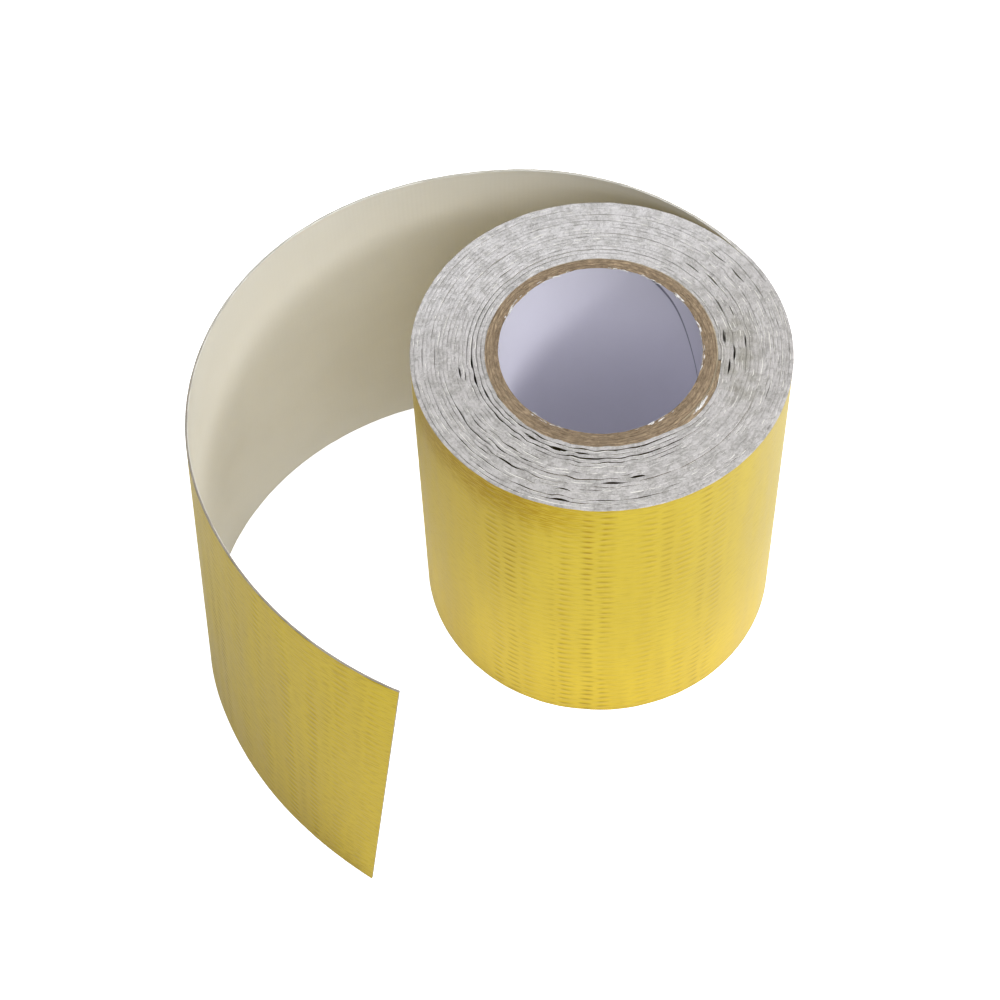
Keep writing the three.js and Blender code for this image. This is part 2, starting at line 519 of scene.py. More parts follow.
# A strip's section carried along the path. A section point is (height share, depth below
# the outer face, lift of the edge, spread of the lip, finish of the face after it). The
# foot of the tail leans outwards and its end is cut at a slant; both edges wander and fray,
# and a lip closes the gap to the next turn wherever the turns lie tight.
def stripGrid(look, section, extraDrop, seed):
    place, outward, run = path["place"], path["outward"], path["run"]
    tailRun, share = path["tailRun"], path["tailShare"]
    heading = np.stack([-outward[:, 1], outward[:, 0]], axis=1)
    lean = look["footLean"] * easedStep(share, look["leanStarts"], look["leanEnds"])
    top = np.sqrt(tapeWidth**2 - lean**2)
    slantFrom = 1 - look["slantShare"]
    setBack = look["endSlant"] * np.clip((share - slantFrom) / look["slantShare"], 0, None)
    foot = place + outward * lean[:, None] - heading * setBack[:, None]
    onTail = easedStep(tailRun, 0, look["tailSettles"])
    thinness = 1 - look["tailThinner"] * onTail
    loose = looseness(np.arctan2(outward[:, 1], outward[:, 0])) * (1 - onTail)
    loose = loose + look["tailLoose"] * onTail
    calm = 0.45 + 0.55 * loose
    level = {}
    lip = {}
    for height, shift in ((1, 0), (0, 50)):  # the top edge, then the foot with its own seeds
        wander = look["edgeWander"] * softWave(run, look["wanderSpacing"], 100 + shift)
        uneven = look["edgeUneven"] * softWave(run, look["unevenSpacing"], 101 + shift) * loose
        level[height] = look["edgeDrop"] + extraDrop + (wander + uneven)
        slack = loose * (0.55 + 0.9 * softWave(run, look["lipSpacing"], 102 + shift))
        lip[height] = np.clip(1.1 - slack, 0, 1) * (1 - onTail)
    coarse, fine = look["fraySpacing"]
    columns = []
    for number, (height, depth, lift, spread, finish) in enumerate(section):
        side = 1 if height > 0.5 else 0
        depthHere = depth * thinness + spread * lip[side]
        flat = foot + (place - foot) * height - outward * depthHere[:, None]
        z = top * height
        fray = softWave(run, coarse, seed + 3 + number)
        fray = fray + 0.7 * softWave(run, fine, seed + 20 + number)
        if height in (0, 1):
            edge = (lift + look["edgeFray"] * fray) * calm
            z = z + (1 - 2 * height) * (level[height] - edge)
        columns.append(np.column_stack([flat, np.clip(z, 0, tapeWidth)]))
    return np.stack(columns, axis=1)


# Distance round a section, for the across direction of the strip map.
def sectionRound(section):
    points = np.array([(point[0] * tapeWidth, point[1]) for point in section])
    closed = np.concatenate([points, points[:1]])
    return np.concatenate([[0.0], np.cumsum(np.linalg.norm(np.diff(closed, axis=0), axis=1))])


goldLook = {
    "deepGold": (0.61, 0.46, 0.02, 1.0),
    "brightGold": (0.66, 0.51, 0.03, 1.0),
    "dashGold": (0.37, 0.235, 0.001, 1.0),
    "underRim": (0.46, 0.3, 0.001, 1.0),
    "onTail": (0.96, 0.945, 0.9, 1.0),
    "paintedFootLight": (1.14, 1.13, 1.05, 1.0),
    "rubbedEdge": (0.52, 0.37, 0.02, 1.0),
    "scuff": (0.14, 0.1, 0.03, 1.0),
    "shadeInsideRoll": (0.1, 0.075, 0.025, 1.0),
    "rowPitch": 1.24,
    "columnPitch": 5.0,
    "relief": 0.000035,
    "threadRelief": 1.3,
    "rough": (0.3, 0.7, 0.36, 0.43),
    "frontAt": 51.6,  # the roll's front, this far along the strip before the tail leaves
    "streaksAt": 68.6,  # and the middle of the streaks
    "tailSide": (5.0, 35.0),  # past where the tail leaves
    "clearNear": (8.0, 24.0, 1.0, 0.15),  # how clear the weave is, by distance from the front
    "clearOnTail": 0.9,
    "scuffsFrom": 60.0,  # how far from the free end scuffs begin, and where they are densest
    "scuffsFull": 10.0,
    "rubbedReach": 1.6,
    "broadScales": (0.3, 0.05),  # scales of noises, along and across
    "threadScales": (0.6, 4.0),
    "scuffScales": (0.7, 2.6),
    "lowPart": (3.0, 30.0, 1.0, 0.0),
    "threadsShown": (0.48, 0.72, 0.0, 0.5),
    "dashShare": 0.85,
    "belowRim": (44.5, 51.0),
    "leftPart": (8.0, 19.0, 1.0, 0.0),
    "streakThreads": (0.35, 0.6, 0.25, 1.0),
    "scuffed": (0.6, 0.72),
    "scuffsLow": (1.0, 9.0, 1.0, 0.12),
    "coat": (0.0, 0.8, 0.2, 0.02),
}


# Gold by a slow noise between two tones, deepened by the weave's dashes (painted shade of its
# relief), by thin threads (a noise drawn out along the strip) and by streaks under the rim, then
# rubbed at the edges, with painted shade on the tail and between the turns and painted light
# towards the roll's foot.
def makeGold(look):
    material, shader = startMaterial("goldFilm")
    along, across = stripPlace()
    weave = placeWeave(along, across, look)
    broad = noise(stretched(along, across, look["broadScales"]), 1.0)
    gold = blend(spread(broad, 0.3, 0.7), look["deepGold"], look["brightGold"])
    # the weave shows best on the roll's front and on the tail
    fromFront = calc("ABSOLUTE", minus(along, leavesRun - look["frontAt"]))
    tailSide = spread(minus(along, leavesRun), *look["tailSide"])
    clearOnTail = times(tailSide, look["clearOnTail"])
    clear = calc("MAXIMUM", spread(fromFront, *look["clearNear"]), clearOnTail)
    # painted shade: the tail's gold is painted a little darker, standing in for the darker floor it
    # reflects
    gold = blend(tailSide, gold, look["onTail"], mode="MULTIPLY")
    # painted light: the roll is painted brighter towards its foot, standing in for the bright floor
    # it reflects there
    lowOnRoll = times(spread(across, *look["lowPart"]), minus(1.0, tailSide))
    gold = blend(lowOnRoll, gold, look["paintedFootLight"], mode="MULTIPLY")
    threads = noise(stretched(along, across, look["threadScales"]), 1.0)
    shown = spread(threads, *look["threadsShown"])
    shown = times(shown, calc("MULTIPLY_ADD", tailSide, 0.5, 0.5))
    gold = blend(shown, gold, look["dashGold"])
    # painted shade: the weave's dashes are darkened in colour where its relief would be shaded,
    # clearest on the front and the tail
    dashes = times(times(weave["Dash"], clear), look["dashShare"])
    gold = blend(dashes, gold, look["dashGold"])
    # streaks of deeper gold under the rim, left of the front
    ragged = times(noise(vectorOf(along, 5.0), 0.5), 6.0)
    belowRim = spread(plus(across, ragged), *look["belowRim"])
    fromStreaks = calc("ABSOLUTE", minus(along, leavesRun - look["streaksAt"]))
    streaks = times(belowRim, spread(fromStreaks, *look["leftPart"]))
    streaks = times(streaks, spread(threads, *look["streakThreads"]))
    gold = blend(streaks, gold, look["underRim"])
    ragged = times(noise(vectorOf(along, across), 1.1), 0.8)
    onEdge = {"Across": across, "Reach": look["rubbedReach"], "Ragged": ragged}
    wear = placeGroup(edgeWear, "edge wear", Width=tapeWidth, **onEdge)
    gold = blend(times(wear["Mask"], 0.55), gold, look["rubbedEdge"])
    # short scuffs near the foot of the free end
    fromEnd = minus(stripLength, along)
    endOfTail = spread(fromEnd, look["scuffsFull"], look["scuffsFrom"], 1.0, 0.0)
    specks = noise(stretched(along, across, look["scuffScales"]), 1.0, 4.0, 0.7)
    scuffs = times(spread(specks, *look["scuffed"]), endOfTail)
    scuffs = times(scuffs, spread(across, *look["scuffsLow"]))
    gold = blend(times(scuffs, 0.75), gold, look["scuff"])
    # painted shade: between the turns the film is painted dark, as shade lies there
    lastTurnAt = leavesRun - fullTurn * stripLook["lastRadius"]
    hidden = spread(along, lastTurnAt - 12, lastTurnAt - 6, 1.0, 0.0)
    gold = blend(hidden, gold, look["shadeInsideRoll"])
    setSurface(shader, gold, spread(broad, *look["rough"]))
    feed(shader.inputs["Metallic"], 0.95)
    coat = spread(calc("MAXIMUM", dashes, streaks), *look["coat"])
    coat = times(coat, calc("MULTIPLY_ADD", tailSide, -0.6, 1.0))
    feed(shader.inputs["Coat Weight"], coat)
    feed(shader.inputs["Coat Roughness"], 0.3)
    threads = times(threads, look["threadRelief"])
    height = plus(times(weave["Height"], clear), threads)
    bumpInto(shader, height, look["relief"], 0.9)
    return material


edgeLook = {
    "darkFibre": (0.4, 0.39, 0.38, 1.0),
    "paleFibre": (0.63, 0.615, 0.62, 1.0),
    # painted shade: the ends are painted darker away from one side
    "sideShadeTint": (0.83, 0.82, 0.805, 1.0),
    "litSide": 105.0,  # the ends are palest towards this angle
    "darkPatch": (0.3, 0.285, 0.24, 1.0),
    "darkPatchAt": (17.0, -2.0),  # from the roll's axis
    "tailEdge": (0.28, 0.245, 0.19, 1.0),
    "paleTailEdge": (0.55, 0.53, 0.46, 1.0),
    "paleFor": (70.0, 95.0),  # the tail's edge darkens between these lengths of it
    "speckle": 4200.0,
    "blotches": 520.0,
    "relief": 0.00012,
    "sideShade": (0.002, 0.019, 1.0, 0.0),
    "darkPatchScales": (1.6, 0.5),
    "darkPatchReach": (0.0005, 0.0062, 0.75, 0.0),
}


# Cut fibres: half speckle, a quarter bundles (a noise along the strip) and a quarter
# blotches, multiplied by painted shade that grows away from one side and darkened round a point.
def makeCutEdge(look):
    material, shader = startMaterial("cutGlassCloth")
    along = stripPlace()[0]
    place = objectPlace()
    speckle = placeSpeckle(place, look["speckle"], 2.6)
    bundles = noise(vectorOf(times(along, 0.9), 0.0), 1.0, 3.0, 0.7)
    bundles = spread(bundles, 0.25, 0.7)
    blotches = spread(noise(place, look["blotches"]), 0.3, 0.7)
    mixed = weighted(((speckle, 0.5), (bundles, 0.25), (blotches, 0.25)))
    mixed = spread(mixed, 0.2, 0.75)
    fibres = blend(mixed, look["darkFibre"], look["paleFibre"])
    # painted shade: darker away from one side; and darkest beside the core's flap
    darkPatchAt = np.array(look["darkPatchAt"])
    east, north = separate(placeFrom("from the dark patch", rollAxis + darkPatchAt))[:2]
    litAngle = math.radians(look["litSide"])
    towards = times(plus(east, float(darkPatchAt[0]) * mm), math.cos(litAngle))
    towards = plus(towards, times(north, math.sin(litAngle)))
    sideShade = spread(towards, *look["sideShade"])
    fibres = blend(sideShade, fibres, look["sideShadeTint"], mode="MULTIPLY")
    length = addNode("ShaderNodeVectorMath", "distance", operation="LENGTH")
    feed(length.inputs[0], stretched(east, north, look["darkPatchScales"]))
    near = spread(length.outputs["Value"], *look["darkPatchReach"])
    patchDarkened = times(near, spread(blotches, 0.1, 0.9, 1.0, 0.4))
    fibres = blend(patchDarkened, fibres, look["darkPatch"])
    onTail = spread(along, leavesRun, leavesRun + 12, 0.0, 0.85)
    farOut = spread(minus(along, leavesRun), *look["paleFor"])
    tailEdge = blend(farOut, look["paleTailEdge"], look["tailEdge"])
    fibres = blend(onTail, fibres, tailEdge)
    setSurface(shader, fibres, spread(speckle, 0.2, 0.8, 0.65, 0.3))
    bumpInto(shader, speckle, look["relief"], 0.8)
    return material


adhesiveLook = {
    "plain": (0.62, 0.6, 0.52, 1.0),
    "raised": (0.72, 0.7, 0.63, 1.0),
    "rowPitch": 1.22,
    "columnPitch": 3.2,
    "relief": 0.00004,
}


def makeAdhesiveSide(look):
    material, shader = startMaterial("adhesiveSide")
    along, across = stripPlace()
    weave = placeWeave(along, across, look)
    share = times(weave["Presence"], 0.5)
    setSurface(shader, blend(share, look["plain"], look["raised"]), 0.4)
    bumpInto(shader, weave["Height"], look["relief"])
    return material


goldFilm = makeGold(goldLook)
cutGlassCloth = makeCutEdge(edgeLook)
adhesiveSide = makeAdhesiveSide(adhesiveLook)

thick = stripLook["tapeThickness"]
lipSpread = 0.14
tapeSection = [  # gold face, top edge, adhesive face, foot edge
    (0, 0.0, 0, 0, 0), (0.012, 0.0, 0, 0, 0), (0.5, 0.0, 0, 0, 0), (0.988, 0.0, 0, 0, 0),
    (1, 0.0, 0, 0, 1), (1, thick * 0.3, 0.06, 0, 1), (1, thick * 0.7, 0.06, 0, 1),
    (1, thick, 0.02, lipSpread, 1), (0.992, thick, 0, lipSpread * 0.2, 2),
    (0.5, thick, 0, 0, 2), (0.008, thick, 0, lipSpread * 0.2, 1),
    (0, thick, 0.02, lipSpread, 1), (0, thick * 0.7, 0.06, 0, 1), (0, thick * 0.3, 0.06, 0, 1),
]
tape = sectionMesh(
    "tape_strip",
    stripGrid(stripLook, tapeSection, 0.0, 100),
    path["run"],
    sectionRound(tapeSection),
    [point[4] for point in tapeSection],
    [goldFilm, cutGlassCloth, adhesiveSide],
)
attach(tape, "root")
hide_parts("tape")
print("tape built:", len(tape.data.polygons), "faces,", round(stripLength), "mm of strip")


linerLook = {
    "paper": (0.78, 0.76, 0.69, 1.0),
    "shade": (0.72, 0.695, 0.62, 1.0),
    "edge": (0.74, 0.735, 0.72, 1.0),
    "gridPitch": 0.62,
    "gridShare": 0.06,
    "cloudScales": (0.06, 0.06),
    "edgeReach": 0.35,
    "rough": (0.3, 0.7, 0.42, 0.52),
    "relief": 0.000006,
}


# Paper clouded by a slow noise, with a fine grid: the mean of a cosine across the strip and
# one along it.
def makeLiner(look):
    material, shader = startMaterial("releasePaper")
    along, across = stripPlace()
    cloud = noise(stretched(along, across, look["cloudScales"]), 1.0, 4.0)
    warp, weft = (
        calc("COSINE", times(place, fullTurn / look["gridPitch"]))
        for place in (across, along)
    )
    grid = times(plus(warp, weft), 0.5)
    tone = spread(cloud, 0.3, 0.7, 0.0, 0.6)
    tone = plus(tone, times(grid, look["gridShare"]), clamp=True)
    paper = blend(tone, look["paper"], look["shade"])
    onEdge = {"Across": minus(across, tapeWidth), "Reach": look["edgeReach"]}
    wear = placeGroup(edgeWear, "pale edge", Width=tapeWidth, **onEdge)
    paper = blend(times(wear["Mask"], 0.5), paper, look["edge"])
    setSurface(shader, paper, spread(cloud, *look["rough"]))
    bumpInto(shader, grid, look["relief"], 0.6)
    return material


linerOuter = thick + stripLook["adhesiveGap"]
linerInner = linerOuter + stripLook["linerThickness"]
linerSection = [(height, linerOuter, 0, 0, 0) for height in (0, 1)]
linerSection += [(height, linerInner, 0, 0, 0) for height in (1, 0.5, 0)]
liner = sectionMesh(
    "release_liner_strip",
    stripGrid(stripLook, linerSection, 0.01, 300),
    path["run"],
    sectionRound(linerSection),
    [point[4] for point in linerSection],
    [makeLiner(linerLook)],
)
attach(liner, "root")
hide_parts("release_liner")
print("release liner built:", len(liner.data.polygons), "faces")


coreLook = {
    "boreRadius": 12.6,
    "boreShift": (-0.1, 0.19),  # the bore stands off the rim's centre, so the wall is uneven
    "outerRadius": 14.36,
    "steps": 360,
    "rimFray": 0.09,
    "fraySpacing": 1.1,
    "seamPitch": 70.0,  # the inner ply winds down one turn in this height
    "seamAngle": 54.5,  # where its seam meets the top edge
    "seamBow": 0.5,
    "kraft": (0.53, 0.395, 0.255, 1.0),
    "darkKraft": (0.13, 0.09, 0.053, 1.0),
    "outerPly": (0.46, 0.385, 0.27, 1.0),
    "whitePly": (0.73, 0.72, 0.81, 1.0),
    "paperFleck": (0.62, 0.61, 0.7, 1.0),
    "seamShade": (0.1, 0.1, 0.14, 1.0),
    "endDrop": 0.1,  # the cut ends lie this far inside the tape's width
    "wobble": 0.02,  # how far the walls swing in and out
    "plies": (13.3, 13.8, 14.16),
    "plyLine": (0.00001, 0.00009, 0.45, 0.0),
    "fibreScale": 2600.0,
    "paleSide": 32.0,  # the outer ply's cut edge shows on this side
    "seamBowAt": 39.0,
    "flapFrom": -66.0,  # an outer ply ends between these angles
    "flapTo": -9.0,
    "flapThickness": 0.42,
    "flapSwell": 0.25,  # thicker still round one angle
    "flapAt": -36.0,
    "flapHalf": 14.0,
}


# The core's wall carried round its axis: the centre slides from the rim's to the bore's as
# the radius shrinks, the radius of each end's points wanders a little, and the ends rise
# and fall with the cut.
def coreGrid(look):
    angle = np.linspace(0, fullTurn, look["steps"], endpoint=False)
    bore, outer = look["boreRadius"], look["outerRadius"]
    across = np.linspace(outer, bore, 9)
    outside = [(outer, z) for z in np.linspace(0, tapeWidth, 5)]
    rim = [(r, tapeWidth) for r in across[1:-1]]
    inside = [(bore, z) for z in np.linspace(tapeWidth, 0, 26)]
    section = outside + rim + inside + [(r, 0.0) for r in across[::-1][1:-1]]
    columns = []
    for number, (radius, height) in enumerate(section):
        travel = angle * radius
        middle = travel.mean()
        seamFade = easedStep(np.abs(travel - middle), middle, middle - 2)
        fray = look["rimFray"] * softWave(travel, look["fraySpacing"], 700 + number) * seamFade
        z = np.full_like(angle, height)
        if height in (0.0, tapeWidth):
            z = z + (-1 if height == tapeWidth else 1) * (look["endDrop"] + fray)
            wobble = 0.3 * fray * (1 if radius > bore else -1)
        else:
            wobble = look["wobble"] * np.sin(3 * angle + 1)
        inward = (outer - radius) / (outer - bore)
        centre = rimCentre + inward * np.array(look["boreShift"])
        columns.append(np.column_stack([ringPoints(centre, angle, radius + wobble), z]))
    points = np.array(section + section[:1])
    around = np.concatenate([[0.0], np.cumsum(np.linalg.norm(np.diff(points, axis=0), axis=1))])
    boreFrom = len(outside) + len(rim)
    boreColumns = range(boreFrom, boreFrom + len(inside) - 1)
    finish = [1 if number in boreColumns else 0 for number in range(len(section))]
    return np.stack(columns, axis=1), around, finish


# Object coordinates measured from the rim's centre, then their radius, angle and height.
def corePlace():
    place = placeFrom("from the axis", rimCentre)
    x, y, z = separate(place)
    radius = calc("SQRT", plus(times(x, x), times(y, y)))
    return place, radius, calc("ARCTAN2", y, x), z


# Board by a weighted sum of speckle, streaks and nearness to the rim, with a dark line
# where two plies meet and the pale cut edge of the outer ply on one side.
def makeKraft(look):
    material, shader = startMaterial("kraftBoard")
    place, radius, angle, _ = corePlace()
    speckle = placeSpeckle(place, look["fibreScale"], 2.2)
    # fibres lie round the rim: noise stretched along the angle
    turned = calc("COSINE", angle), calc("SINE", angle)
    lay = vectorOf(*turned, times(radius, 420.0))
    streaks = spread(noise(lay, 14.0, 4.0, 0.65), 0.34, 0.66)
    outerRadius = look["outerRadius"]
    towardsRim = spread(radius, (look["boreRadius"] + 0.2) * mm, (outerRadius - 0.4) * mm)
    tone = weighted(((speckle, 0.4), (streaks, 0.45), (towardsRim, 0.15)))
    colour = blend(tone, look["darkKraft"], look["kraft"])
    for ply in look["plies"]:
        away = calc("ABSOLUTE", minus(radius, ply * mm))
        colour = blend(spread(away, *look["plyLine"]), colour, look["darkKraft"])
    # the pale cut edge of the outer ply, seen on the side of the flap
    facing = calc("COSINE", minus(angle, math.radians(look["paleSide"])))
    facing = spread(facing, 0.0, 0.3, 0.0, 0.9)
    rising = spread(radius, (outerRadius - 0.17) * mm, (outerRadius - 0.1) * mm)
    falling = spread(radius, (outerRadius + 0.02) * mm, (outerRadius + 0.09) * mm, 1.0, 0.15)
    pale = times(times(facing, rising), falling)
    colour = blend(pale, colour, look["outerPly"])
    setSurface(shader, colour, spread(speckle, 0.2, 0.8, 0.95, 0.8))
    bumpInto(shader, tone, 0.0003, 0.9)
    return material


# White paper with one dark line: the seam is where height above the helix, which falls one
# pitch a turn and bows a little, passes zero.
def makeBorePaper(look):
    material, shader = startMaterial("borePaper")
    place, _, angle, z = corePlace()
    seamPitch = look["seamPitch"] * mm
    climb = times(minus(angle, math.radians(look["seamAngle"])), seamPitch / fullTurn)
    bow = times(minus(angle, math.radians(look["seamBowAt"])), 8.0)
    bow = times(calc("COSINE", bow), look["seamBow"] * mm)
    above = minus(minus(z, tapeWidth * mm), plus(climb, bow))
    # wrapped to half a pitch either way
    laps = calc("ROUND", over(above, seamPitch))
    above = minus(above, times(laps, seamPitch))
    seam = spread(calc("ABSOLUTE", above), 0.0001, 0.00045, 1.0, 0.0)
    lip = spread(above, -0.0002, 0.0002)
    speckle = placeSpeckle(place, 1500.0, 1.2)
    paper = blend(times(speckle, 0.12), look["whitePly"], look["paperFleck"])
    paper = blend(times(seam, 0.85), paper, look["seamShade"])
    setSurface(shader, paper, spread(speckle, 0.2, 0.8, 0.6, 0.5))
    bumpInto(shader, plus(lip, times(speckle, 0.1)), 0.00012, 0.7)
    return material


coreMesh, coreRound, coreFinish = coreGrid(coreLook)
coreAlong = np.linspace(0, fullTurn * coreLook["outerRadius"], coreLook["steps"] + 1)
kraftBoard = makeKraft(coreLook)
coreFinishes = [kraftBoard, makeBorePaper(coreLook)]
core = sectionMesh(
    "core_board", coreMesh, coreAlong, coreRound, coreFinish, coreFinishes, closedPath=True
)
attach(core, "root")
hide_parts("core_tube")


# The loose end of the outer ply: a wall on the core that rises where the first turn steps
# up, with the bell by which the turns make way for it added on top.
def flapGrid(look):
    degrees = np.linspace(look["flapFrom"], look["flapTo"], 80)
    angle = np.radians(degrees)
    step = [stripLook["firstTurnAt"] - 360 * (1 - stripLook[end]) for end in ("stepFrom", "stepTo")]
    swell = 0.02 + look["flapThickness"] * easedStep(degrees, *step)
    flapAt, flapHalf = math.radians(look["flapAt"]), math.radians(look["flapHalf"])
    swell += look["flapSwell"] * flatBell(angle - flapAt, flapHalf)
    travel = angle * look["outerRadius"]
    drop = 0.14 + 0.08 * softWave(travel, 1.4, 61)
    section = [(0, 0), (0, 1), (0.5, 1), (1, 1), (1, 0.66), (1, 0.33), (1, 0), (0.5, 0)]
    columns = []
    for number, (height, depth) in enumerate(section):
        radius = look["outerRadius"] + 0.02 + swell * depth
        inward = {0: 1, 1: -1}.get(height, 0)
        z = height * tapeWidth + (drop + 0.07 * softWave(travel, 0.8, 80 + number)) * inward
        points = ringPoints(rimCentre, angle, radius)
        columns.append(np.column_stack([points, np.clip(z, 0, tapeWidth)]))
    around = np.array([0, 0.4, 25, 50, 50.15, 50.3, 50.4, 75, 100])
    return np.stack(columns, axis=1)[::-1], travel - travel[0], around


flapPoints, flapAlong, flapRound = flapGrid(coreLook)
flap = sectionMesh("outer_ply_flap", flapPoints, flapAlong, flapRound, [0] * 8, [kraftBoard])
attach(flap, "root")
print("core built:", len(core.data.polygons) + len(flap.data.polygons), "faces")


fibreLook = {
    "rimFibres": 190,
    "tornAt": [  # angle, whether on the flap, spread
        (72.0, 0, 4.0), (64.0, 0, 3.0), (52.0, 0, 3.0), (36.0, 0, 1.6), (35.0, 0, 1.2),
        (8.0, 0, 4.0), (-8.0, 0, 4.0), (118.0, 0, 8.0), (146.0, 0, 5.0), (228.0, 0, 4.0),
        (240.0, 0, 5.0), (-60.0, 0, 5.0), (-36.0, 1, 1.5), (-40.0, 1, 1.5),
    ],
    "endFibres": 420,  # glass threads over the roll's ends
    "endRadii": (15.2, 23.2),
    "kraftFibres": 320,
    "kraftRadii": (12.9, 14.3),
    "sides": 3,
    "points": 5,
    "seed": 31,
    "paper": (0.9, 0.89, 0.88, 1.0),
    "glass": (0.92, 0.92, 0.9, 1.0),
    "shade": (0.55, 0.54, 0.52, 1.0),
    "fuzz": (0.5, 0.4, 0.29, 1.0),
    "darkFuzz": (0.16, 0.11, 0.07, 1.0),
}


# Many tapered threads at once: each is a quadratic curve from its root through a bend to
# its tip, with a three-sided section that narrows to the tip.
def threadMesh(name, root, middle, tip, thickness, look, material):
    share = np.linspace(0, 1, look["points"])[None, :, None]
    bend = middle[:, None] * 2 * share * (1 - share)
    line = root[:, None] * (1 - share) ** 2 + bend + tip[:, None] * share**2
    forward = np.gradient(line, axis=1)
    forward /= np.linalg.norm(forward, axis=2, keepdims=True) + 1e-9
    side = np.cross(forward, np.array([0.3, 0.2, 0.93]))
    side /= np.linalg.norm(side, axis=2, keepdims=True) + 1e-9
    upward = np.cross(side, forward)
    turn = np.arange(look["sides"]) * fullTurn / look["sides"]
    width = thickness[:, None, None, None] * (1 - 0.7 * share[..., None])
    ring = side[:, :, None] * np.cos(turn)[:, None] + upward[:, :, None] * np.sin(turn)[:, None]
    points = line[:, :, None] + ring * width
    index = np.arange(points.size // 3).reshape(points.shape[:3])
    beside = np.roll(index, -1, axis=2)
    quads = np.stack([index[:, :-1], beside[:, :-1], beside[:, 1:], index[:, 1:]], axis=-1)
    caps = np.concatenate([index[:, 0, ::-1], index[:, -1]])
    faces = quads.reshape(-1, 4).tolist() + caps.tolist()
    mesh = bpy.data.meshes.new(name)
    mesh.from_pydata(points.reshape(-1, 3) * mm, [], faces)
    mesh.materials.append(material)
    mesh.shade_smooth()
    mesh.update()
    piece = linkPiece(name, mesh)
    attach(piece, "root")
    return piece


def makeThread(name, colour, roughness, other):
    material, shader = startMaterial(name)
    speckle = placeSpeckle(objectPlace(), 900.0, 1.5)
    setSurface(shader, blend(times(speckle, 0.5), colour, other), roughness)
    return material


# Shreds of the white lining round the rim of the bore, the thickest where it tore.
def paperFibres(look):
    rng = np.random.default_rng(look["seed"])
    count = look["rimFibres"]
    torn = np.array(look["tornAt"])[rng.integers(0, len(look["tornAt"]), count)]
    angle, reach, spreadOut = torn.T
    angle = np.radians(angle + rng.normal(0, 1, count) * spreadOut)
    radial = np.stack([np.cos(angle), np.sin(angle)], axis=1)
    heading = np.stack([-radial[:, 1], radial[:, 0]], axis=1)
    onFlap = reach > 0.5
    centre = np.where(onFlap[:, None], rimCentre, rimCentre + np.array(coreLook["boreShift"]))
    start = np.where(onFlap, coreLook["outerRadius"] + 0.1, coreLook["boreRadius"])
    base = centre + radial * (start + rng.uniform(0.02, 0.28, count))[:, None]
    length = rng.uniform(0.3, 1.5, count)
    swing = rng.choice([-1, 1], count)
    root = np.column_stack([base, np.full(count, tapeWidth - 0.25)])
    lead = heading * (swing * length)[:, None]
    middle = np.column_stack([base + lead * 0.5, np.full(count, tapeWidth - 0.02)])
    end = base + lead - radial * rng.uniform(0, 0.3, count)[:, None]
    tip = np.column_stack([end, tapeWidth - rng.uniform(0.02, 0.4, count)])
    return root, middle, tip, rng.uniform(0.035, 0.13, count)


# Short threads lying on an end between two radii round a centre.
def endThreads(look, height, inward, count, centre, radii):
    rng = np.random.default_rng(look["seed"] + round(height) + count)
    angle = rng.uniform(0, fullTurn, count)
    radius = rng.uniform(*radii, count)
    radial = np.stack([np.cos(angle), np.sin(angle)], axis=1)
    heading = np.stack([-radial[:, 1], radial[:, 0]], axis=1)
    length = rng.uniform(0.5, 1.8, count)
    lead = heading * length[:, None] + radial * (rng.normal(0, 0.22, count) * length)[:, None]
    base = centre + radial * radius[:, None]
    level = height + inward * 0.06
    root = np.column_stack([base, np.full(count, level + inward * 0.2)])
    bend = base + lead * 0.5 + radial * rng.normal(0, 0.1, count)[:, None]
    middle = np.column_stack([bend, np.full(count, level)])
    tip = np.column_stack([base + lead, np.full(count, level + inward * 0.16)])
    return root, middle, tip, rng.uniform(0.012, 0.03, count)


paperMaterial = makeThread("tornPaper", fibreLook["paper"], 0.8, fibreLook["shade"])
threadMaterial = makeThread("looseGlassThread", fibreLook["glass"], 0.35, fibreLook["shade"])
tornPaper = threadMesh("torn_paper", *paperFibres(fibreLook), fibreLook, paperMaterial)
fuzzMaterial = makeThread("kraftFuzz", fibreLook["fuzz"], 0.9, fibreLook["darkFuzz"])
glassSpread = (fibreLook["endFibres"], rollAxis, fibreLook["endRadii"])
fuzzSpread = (fibreLook["kraftFibres"], rimCentre, fibreLook["kraftRadii"])
for side, height, inward in (("top", tapeWidth, -1), ("foot", 0.0, 1)):
    glass = endThreads(fibreLook, height, inward, *glassSpread)
    threadMesh("threads_" + side, *glass, fibreLook, threadMaterial)
    fuzz = endThreads(fibreLook, height, inward, *fuzzSpread)
    threadMesh("kraft_fuzz_" + side, *fuzz, fibreLook, fuzzMaterial)
print("loose fibres built")


studioLook = {
    "floorSize": 3.0,
    "floorPoints": 9,  # a side
    "floor": (0.78, 0.78, 0.78, 1.0),
    "paleFloor": (0.92, 0.92, 0.925, 1.0),
    "floorGlow": 1.0,
    "tableLight": (0.1, 0.1, 0.1, 1.0),
    "world": (1.0, 1.0, 1.0, 1.0),
    "worldStrength": 0.19,
    "lights": {  # place, energy, size; the key throws the roll's shadow edge across the liner
        "overhead": ((0.001, 0.0, 0.625), 1.4, 0.45),
        "key": ((0.451, -0.21, 0.36), 1.05, 0.13),
        "right": ((0.386, 0.0, 0.485), 1.5, 0.45),
        "front": ((0.05, -0.424, 0.449), 1.15, 0.45),
    },
}


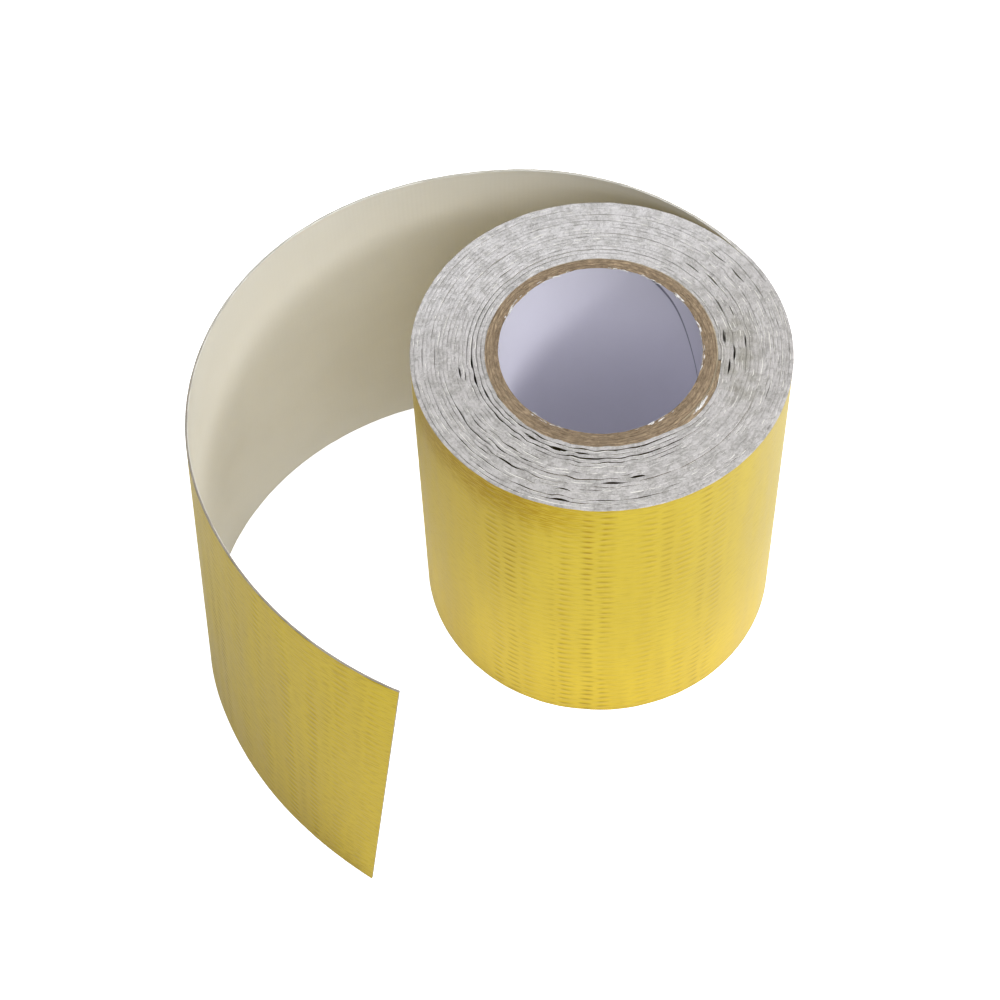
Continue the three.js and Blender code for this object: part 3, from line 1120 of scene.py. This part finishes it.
# A flat square grid on the plane z = 0.
def makeFloor(look):
    half, count = look["floorSize"] / 2, look["floorPoints"]
    ticks = np.linspace(-half, half, count)
    x, y = np.meshgrid(ticks, ticks, indexing="ij")
    index = np.arange(count * count).reshape(count, count)
    quads = np.stack([index[:-1, :-1], index[1:, :-1], index[1:, 1:], index[:-1, 1:]], axis=-1)
    points = np.stack([x, y, np.zeros_like(x)], axis=-1).reshape(-1, 3)
    mesh = bpy.data.meshes.new("floor")
    mesh.from_pydata(points, [], quads.reshape(-1, 4).tolist())
    material, shader = startMaterial("paleFloor")
    tone = noise(objectPlace(), 40.0)
    setSurface(shader, blend(tone, look["floor"], look["paleFloor"]), 0.9)
    # the camera sees a lit white table, which lights the object only weakly
    seen = addNode("ShaderNodeLightPath", "seen directly").outputs["Is Camera Ray"]
    glow = blend(seen, look["tableLight"], (1, 1, 1, 1))
    feed(shader.inputs["Emission Color"], glow)
    feed(shader.inputs["Emission Strength"], look["floorGlow"])
    mesh.materials.append(material)
    floor = linkPiece("floor", mesh)


lookAt = np.array([0, 0, 0.025])  # the middle of the object


# Sets an object's three axes and its place, all in the scene's own coordinates.
def setAxes(piece, x, y, z, place):
    rows = [[x[i], y[i], z[i], place[i]] for i in range(3)]
    piece.matrix_world = Matrix(rows + [[0, 0, 0, 1]])


# A square light turned to look at the middle of the object.
def addLight(name, place, energy, size):
    data = bpy.data.lights.new(name, "AREA")
    data.energy = energy
    data.size = size
    back = np.array(place) - lookAt
    back = back / np.linalg.norm(back)
    side = np.cross([0, 0, 1], back)
    side = side / np.linalg.norm(side)
    setAxes(linkPiece(name, data), side, np.cross(back, side), back, place)


def makeWorld(look):
    world = bpy.data.worlds.new("studio")
    world.use_nodes = True
    inputs = world.node_tree.nodes["Background"].inputs
    inputs["Color"].default_value = look["world"]
    inputs["Strength"].default_value = look["worldStrength"]
    bpy.context.scene.world = world


# The camera looks along +Y and down by the pitch, then rolls about its own line of sight.
def makeCamera(look):
    pitch = math.radians(look["pitchDown"])
    roll = math.radians(look["roll"])
    forward = np.array([0, math.cos(pitch), -math.sin(pitch)])
    level = np.array([1.0, 0, 0])
    rise = np.cross(level, forward)
    right = math.cos(roll) * level + math.sin(roll) * rise
    above = -math.sin(roll) * level + math.cos(roll) * rise
    place = (np.array(look["place"]) + np.array([*rollAxis, 0])) * mm
    data = bpy.data.cameras.new("camera")
    data.sensor_fit = "HORIZONTAL"
    data.sensor_width = look["sensor"]
    data.lens = look["focal"] * look["sensor"]
    data.clip_start = 0.01
    camera = linkPiece("camera", data)
    setAxes(camera, right, above, -forward, place)
    bpy.context.scene.camera = camera


makeFloor(studioLook)
makeWorld(studioLook)
for lightName, (lightPlace, energy, size) in studioLook["lights"].items():
    addLight(lightName, lightPlace, energy, size)
makeCamera(cameraLook)
bpy.context.scene.view_settings.view_transform = "Standard"
print("studio built")
